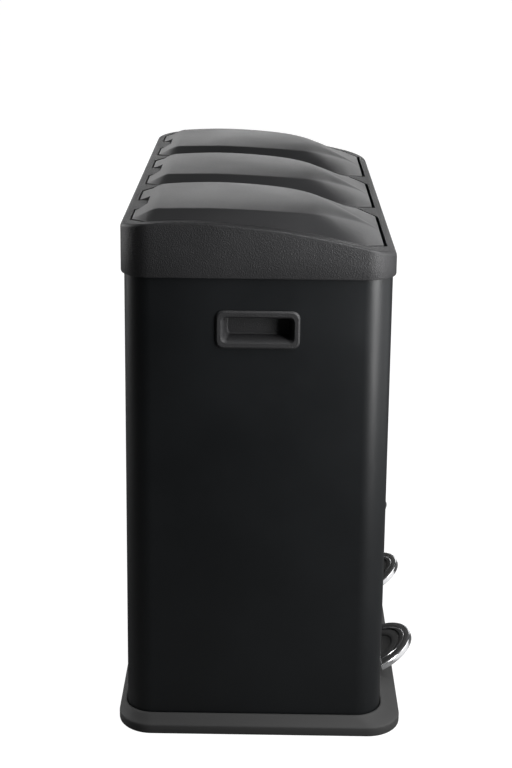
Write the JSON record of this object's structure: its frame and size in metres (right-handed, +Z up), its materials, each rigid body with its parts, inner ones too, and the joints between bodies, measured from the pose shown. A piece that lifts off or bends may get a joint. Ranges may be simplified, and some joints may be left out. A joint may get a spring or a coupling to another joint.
{
  "type": "step-on sorting bin",
  "caption": "Wide step-on waste bin with separate side-by-side compartments; each front pedal lifts its own rear-hinged lid through a push rod over a lift-out bucket.",
  "frame": {"origin": "centre of the footprint on the floor, under the rubber feet", "axes": "+X to the right seen from the pedals, +Y to the rear where the lids are hinged, +Z up"},
  "size_m": [0.6596, 0.3585, 0.6314],
  "materials": {
    "base_plastic": "fine grained moulded plastic, satin dark grey",
    "body_steel": "black powder-coated sheet steel, satin",
    "collar_plastic": "grained moulded plastic, matt dark grey",
    "lid_plastic": "satin moulded plastic, dark grey",
    "pedal_chrome": "polished chrome plating",
    "pedal_rubber": "matt black anti-slip rubber",
    "zinc_steel": "zinc-plated steel",
    "bucket_plastic": "grey moulded plastic",
    "foot_rubber": "black rubber"
  },
  "bodies": {
    "casing": {"base_tray": "base_plastic", "body_shell": "body_steel", "collar_frame": "collar_plastic", "side_handle_left": "collar_plastic", "side_handle_right": "collar_plastic", "rubber_foot_1": "foot_rubber", "rubber_foot_2": "foot_rubber", "rubber_foot_3": "foot_rubber", "rubber_foot_4": "foot_rubber", "rubber_foot_5": "foot_rubber", "rubber_foot_6": "foot_rubber", "inner_bucket_left": "bucket_plastic", "lid_hinge_pin_left": "zinc_steel", "pivot_bracket_left": "zinc_steel", "pedal_axle_left": "zinc_steel", "axle_clip_left": "zinc_steel", "bracket_screw_left_a": "zinc_steel", "bracket_screw_left_b": "zinc_steel", "inner_bucket_middle": "bucket_plastic", "lid_hinge_pin_middle": "zinc_steel", "pivot_bracket_middle": "zinc_steel", "pedal_axle_middle": "zinc_steel", "axle_clip_middle": "zinc_steel", "bracket_screw_middle_a": "zinc_steel", "bracket_screw_middle_b": "zinc_steel", "inner_bucket_right": "bucket_plastic", "lid_hinge_pin_right": "zinc_steel", "pivot_bracket_right": "zinc_steel", "pedal_axle_right": "zinc_steel", "axle_clip_right": "zinc_steel", "bracket_screw_right_a": "zinc_steel", "bracket_screw_right_b": "zinc_steel"},
    "pedal_left": {"pedal_lever_left": "zinc_steel", "pedal_rim_left": "pedal_chrome", "pedal_pad_left": "pedal_rubber", "pedal_ring_left": "pedal_chrome"},
    "rod_left": {"push_rod_left": "zinc_steel"},
    "cover_left": {"lid_left": "lid_plastic"},
    "pedal_middle": {"pedal_lever_middle": "zinc_steel", "pedal_rim_middle": "pedal_chrome", "pedal_pad_middle": "pedal_rubber", "pedal_ring_middle": "pedal_chrome"},
    "rod_middle": {"push_rod_middle": "zinc_steel"},
    "cover_middle": {"lid_middle": "lid_plastic"},
    "pedal_right": {"pedal_lever_right": "zinc_steel", "pedal_rim_right": "pedal_chrome", "pedal_pad_right": "pedal_rubber", "pedal_ring_right": "pedal_chrome"},
    "rod_right": {"push_rod_right": "zinc_steel"},
    "cover_right": {"lid_right": "lid_plastic"}
  },
  "joints": [
    {"name": "pedal_left_press", "type": "hinge", "parent": "casing", "child": "pedal_left", "pos_m": [-0.2062, -0.0125, 0.034], "axis": [1, 0, 0], "range_deg": [0, 10.9]},
    {"name": "rod_left_lift", "type": "hinge", "parent": "pedal_left", "child": "rod_left", "pos_m": [-0.2062, 0.1318, 0.0202], "axis": [1, 0, 0], "range_deg": [-11.35, 0]},
    {"name": "lid_left_open", "type": "hinge", "parent": "casing", "child": "cover_left", "pos_m": [-0.2062, 0.155, 0.6125], "axis": [-1, 0, 0], "range_deg": [0, 75]},
    {"name": "pedal_middle_press", "type": "hinge", "parent": "casing", "child": "pedal_middle", "pos_m": [0, -0.0125, 0.034], "axis": [1, 0, 0], "range_deg": [0, 10.9]},
    {"name": "rod_middle_lift", "type": "hinge", "parent": "pedal_middle", "child": "rod_middle", "pos_m": [0, 0.1318, 0.0202], "axis": [1, 0, 0], "range_deg": [-11.35, 0]},
    {"name": "lid_middle_open", "type": "hinge", "parent": "casing", "child": "cover_middle", "pos_m": [0, 0.155, 0.6125], "axis": [-1, 0, 0], "range_deg": [0, 75]},
    {"name": "pedal_right_press", "type": "hinge", "parent": "casing", "child": "pedal_right", "pos_m": [0.2062, -0.0125, 0.034], "axis": [1, 0, 0], "range_deg": [0, 10.9]},
    {"name": "rod_right_lift", "type": "hinge", "parent": "pedal_right", "child": "rod_right", "pos_m": [0.2062, 0.1318, 0.0202], "axis": [1, 0, 0], "range_deg": [-11.35, 0]},
    {"name": "lid_right_open", "type": "hinge", "parent": "casing", "child": "cover_right", "pos_m": [0.2062, 0.155, 0.6125], "axis": [-1, 0, 0], "range_deg": [0, 75]}
  ],
  "couplings": [
    {"joint": "rod_left_lift", "follows": "pedal_left_press", "ratio": -1.038},
    {"joint": "lid_left_open", "follows": "pedal_left_press", "ratio": 6.88},
    {"joint": "rod_middle_lift", "follows": "pedal_middle_press", "ratio": -1.038},
    {"joint": "lid_middle_open", "follows": "pedal_middle_press", "ratio": 6.88},
    {"joint": "rod_right_lift", "follows": "pedal_right_press", "ratio": -1.038},
    {"joint": "lid_right_open", "follows": "pedal_right_press", "ratio": 6.88}
  ]
}
